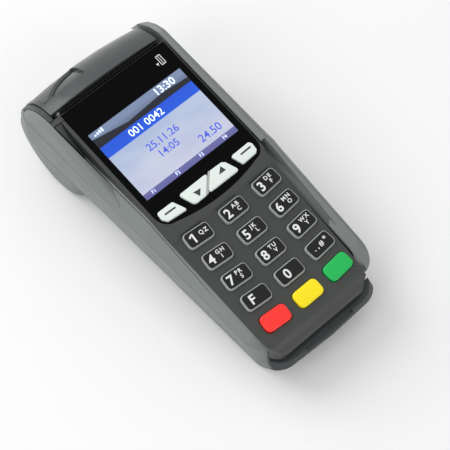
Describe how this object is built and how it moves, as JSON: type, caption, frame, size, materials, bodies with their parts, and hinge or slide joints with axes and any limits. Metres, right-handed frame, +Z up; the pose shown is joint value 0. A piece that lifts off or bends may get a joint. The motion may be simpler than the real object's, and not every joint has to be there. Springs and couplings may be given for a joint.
{
  "type": "payment terminal",
  "caption": "Counter-top payment terminal with tilted colour display, keypad, front chip-card slot, side swipe slot and a hinged rear cover over a receipt printer.",
  "frame": {"origin": "centre of the bounding box, on the counter surface that the feet rest on", "axes": "+X to the user's right, +Y from the card slot at the front to the printer at the rear, +Z up"},
  "size_m": [0.0828, 0.1849, 0.0624],
  "materials": {
    "shell_grey": "fine-grained moulding",
    "top_dark": "fine-grained moulding",
    "cover_grey": "satin moulding",
    "bezel_dark": "fine-grained moulding",
    "window_black": "polished window, printed black round the display",
    "lcd_glass": "lit colour display",
    "lcd_steel": "pressed sheet",
    "key_pale": "smooth moulding",
    "key_grey": "light rim with a black printed top",
    "key_red": "smooth moulding",
    "key_yellow": "smooth moulding",
    "key_green": "smooth moulding",
    "silicone": "moulded mat",
    "board": "solder mask",
    "chip_black": "moulded packages",
    "cell_steel": "plated",
    "reader_black": "moulded",
    "gold_contacts": "plated springs",
    "steel": "ground",
    "head_steel": "polished face",
    "gear_white": "moulded gears",
    "gear_brass": "cut gear",
    "platen_rubber": "ground roller",
    "tray_grey": "moulded",
    "paper": "thin coated paper",
    "core_board": "rolled board",
    "feet_rubber": "soft, matt",
    "screw_steel": "plated",
    "motor_steel": "drawn can",
    "printer_plate": "pressed sheet"
  },
  "bodies": {
    "base": {"bottom_case": "shell_grey", "rear_hips": "shell_grey", "side_rail": "shell_grey", "top_case": "top_dark", "card_bezel": "bezel_dark", "display_window": "window_black", "lcd_panel": "lcd_glass", "lcd_frame": "lcd_steel", "keypad_mat": "silicone", "keypad_board": "board", "main_board": "board", "board_parts": "chip_black", "coin_cell": "cell_steel", "reader_base": "reader_black", "reader_cover": "reader_black", "chip_contacts": "gold_contacts", "mag_spring": "steel", "motor": "motor_steel", "printer_frame": "printer_plate", "gear_axles": "steel", "tear_bar": "steel", "paper_tray": "tray_grey", "cable_socket": "reader_black", "cable_door": "shell_grey", "rubber_feet": "feet_rubber", "case_screws": "screw_steel", "board_screws": "screw_steel", "cover_pin": "steel"},
    "nav_left": {"nav_left": "key_pale"},
    "nav_down": {"nav_down": "key_pale"},
    "nav_up": {"nav_up": "key_pale"},
    "nav_right": {"nav_right": "key_pale"},
    "key_1": {"key_1": "key_grey"},
    "key_2": {"key_2": "key_grey"},
    "key_3": {"key_3": "key_grey"},
    "key_4": {"key_4": "key_grey"},
    "key_5": {"key_5": "key_grey"},
    "key_6": {"key_6": "key_grey"},
    "key_7": {"key_7": "key_grey"},
    "key_8": {"key_8": "key_grey"},
    "key_9": {"key_9": "key_grey"},
    "key_f": {"key_f": "key_grey"},
    "key_0": {"key_0": "key_grey"},
    "key_dot": {"key_dot": "key_grey"},
    "key_cancel": {"key_cancel": "key_red"},
    "key_clear": {"key_clear": "key_yellow"},
    "key_enter": {"key_enter": "key_green"},
    "cover": {"paper_cover": "cover_grey", "catch_pin": "steel"},
    "catch": {"cover_catch": "cover_grey"},
    "platen": {"platen_roller": "platen_rubber", "platen_shaft": "steel", "platen_gear": "gear_white"},
    "idler": {"idler_gear": "gear_white"},
    "drive": {"drive_gear": "gear_white"},
    "pinion": {"motor_pinion": "gear_brass"},
    "print_head": {"print_head": "head_steel"},
    "mag_head": {"mag_head": "head_steel"},
    "roll": {"paper_roll": "paper", "roll_core": "core_board"}
  },
  "joints": [
    {"name": "nav_left_press", "type": "slide", "parent": "base", "child": "nav_left", "axis": [0, 0.1478, -0.989], "range_m": [0, 0.0006], "stiffness_N_per_m": 600},
    {"name": "nav_down_press", "type": "slide", "parent": "base", "child": "nav_down", "axis": [0, 0.1478, -0.989], "range_m": [0, 0.0006], "stiffness_N_per_m": 600},
    {"name": "nav_up_press", "type": "slide", "parent": "base", "child": "nav_up", "axis": [0, 0.1478, -0.989], "range_m": [0, 0.0006], "stiffness_N_per_m": 600},
    {"name": "nav_right_press", "type": "slide", "parent": "base", "child": "nav_right", "axis": [0, 0.1478, -0.989], "range_m": [0, 0.0006], "stiffness_N_per_m": 600},
    {"name": "key_1_press", "type": "slide", "parent": "base", "child": "key_1", "axis": [0, 0.2079, -0.9781], "range_m": [0, 0.001], "stiffness_N_per_m": 600},
    {"name": "key_2_press", "type": "slide", "parent": "base", "child": "key_2", "axis": [0, 0.2079, -0.9781], "range_m": [0, 0.001], "stiffness_N_per_m": 600},
    {"name": "key_3_press", "type": "slide", "parent": "base", "child": "key_3", "axis": [0, 0.2079, -0.9781], "range_m": [0, 0.001], "stiffness_N_per_m": 600},
    {"name": "key_4_press", "type": "slide", "parent": "base", "child": "key_4", "axis": [0, 0.2079, -0.9781], "range_m": [0, 0.001], "stiffness_N_per_m": 600},
    {"name": "key_5_press", "type": "slide", "parent": "base", "child": "key_5", "axis": [0, 0.2079, -0.9781], "range_m": [0, 0.001], "stiffness_N_per_m": 600},
    {"name": "key_6_press", "type": "slide", "parent": "base", "child": "key_6", "axis": [0, 0.2079, -0.9781], "range_m": [0, 0.001], "stiffness_N_per_m": 600},
    {"name": "key_7_press", "type": "slide", "parent": "base", "child": "key_7", "axis": [0, 0.2079, -0.9781], "range_m": [0, 0.001], "stiffness_N_per_m": 600},
    {"name": "key_8_press", "type": "slide", "parent": "base", "child": "key_8", "axis": [0, 0.2079, -0.9781], "range_m": [0, 0.001], "stiffness_N_per_m": 600},
    {"name": "key_9_press", "type": "slide", "parent": "base", "child": "key_9", "axis": [0, 0.2079, -0.9781], "range_m": [0, 0.001], "stiffness_N_per_m": 600},
    {"name": "key_f_press", "type": "slide", "parent": "base", "child": "key_f", "axis": [0, 0.2079, -0.9781], "range_m": [0, 0.001], "stiffness_N_per_m": 600},
    {"name": "key_0_press", "type": "slide", "parent": "base", "child": "key_0", "axis": [0, 0.2079, -0.9781], "range_m": [0, 0.001], "stiffness_N_per_m": 600},
    {"name": "key_dot_press", "type": "slide", "parent": "base", "child": "key_dot", "axis": [0, 0.2079, -0.9781], "range_m": [0, 0.001], "stiffness_N_per_m": 600},
    {"name": "key_cancel_press", "type": "slide", "parent": "base", "child": "key_cancel", "axis": [0, 0.2079, -0.9781], "range_m": [0, 0.001], "stiffness_N_per_m": 600},
    {"name": "key_clear_press", "type": "slide", "parent": "base", "child": "key_clear", "axis": [0, 0.2079, -0.9781], "range_m": [0, 0.001], "stiffness_N_per_m": 600},
    {"name": "key_enter_press", "type": "slide", "parent": "base", "child": "key_enter", "axis": [0, 0.2079, -0.9781], "range_m": [0, 0.001], "stiffness_N_per_m": 600},
    {"name": "cover_hinge", "type": "hinge", "parent": "base", "child": "cover", "pos_m": [0, 0.0895, 0.033], "axis": [-1, 0, 0], "range_deg": [0, 100]},
    {"name": "catch_pivot", "type": "hinge", "parent": "cover", "child": "catch", "pos_m": [0, 0.08767, 0.03881], "axis": [-1, 0, 0], "range_deg": [0, 18], "stiffness_Nm_per_rad": 0.08, "springref_deg": -5.73},
    {"name": "platen_spin", "type": "hinge", "parent": "cover", "child": "platen", "pos_m": [0, 0.0687, 0.053], "axis": [1, 0, 0], "continuous": true},
    {"name": "idler_spin", "type": "hinge", "parent": "base", "child": "idler", "pos_m": [0, 0.06344, 0.04388], "axis": [1, 0, 0], "continuous": true},
    {"name": "drive_spin", "type": "hinge", "parent": "base", "child": "drive", "pos_m": [0, 0.05357, 0.03492], "axis": [1, 0, 0], "continuous": true},
    {"name": "pinion_spin", "type": "hinge", "parent": "base", "child": "pinion", "pos_m": [0, 0.04244, 0.03638], "axis": [1, 0, 0], "continuous": true},
    {"name": "head_pivot", "type": "hinge", "parent": "base", "child": "print_head", "pos_m": [0, 0.06255, 0.044], "axis": [1, 0, 0], "range_deg": [0, 3], "stiffness_Nm_per_rad": 1.2},
    {"name": "mag_head_float", "type": "slide", "parent": "base", "child": "mag_head", "axis": [-1, 0, 0], "range_m": [0, 0.0006], "stiffness_N_per_m": 900},
    {"name": "roll_spin", "type": "hinge", "parent": "base", "child": "roll", "pos_m": [0, 0.0665, 0.0233], "axis": [1, 0, 0], "continuous": true}
  ],
  "couplings": [
    {"joint": "drive_spin", "follows": "platen_spin", "ratio": 0.6},
    {"joint": "idler_spin", "follows": "platen_spin", "ratio": -0.66667},
    {"joint": "pinion_spin", "follows": "platen_spin", "ratio": -1}
  ]
}
